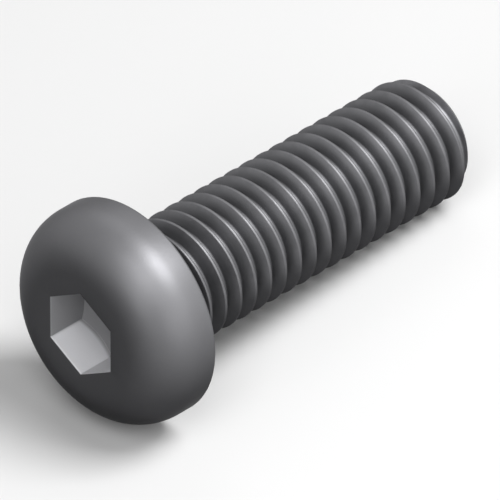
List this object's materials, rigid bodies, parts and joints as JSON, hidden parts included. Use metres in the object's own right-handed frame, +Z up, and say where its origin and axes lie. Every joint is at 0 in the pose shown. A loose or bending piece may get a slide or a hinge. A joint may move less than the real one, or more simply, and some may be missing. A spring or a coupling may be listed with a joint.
{
  "type": "button head socket screw",
  "caption": "Button head socket screw: a low domed head with a hexagon socket on a shank that is threaded up to the head, lying on its side.",
  "frame": {"origin": "centre of the bearing face under the head", "axes": "+Z up and +X along the table from the head towards the tip. The screw lies at rest on its rim and on the last crest of its thread, so its own axis points 7.07 degrees below +X. Two corners of the socket lie in the XZ plane."},
  "size_m": [0.0301, 0.014, 0.014],
  "materials": {
    "black_steel": "satin"
  },
  "bodies": {
    "root": {"screw": "black_steel"}
  },
  "joints": []
}
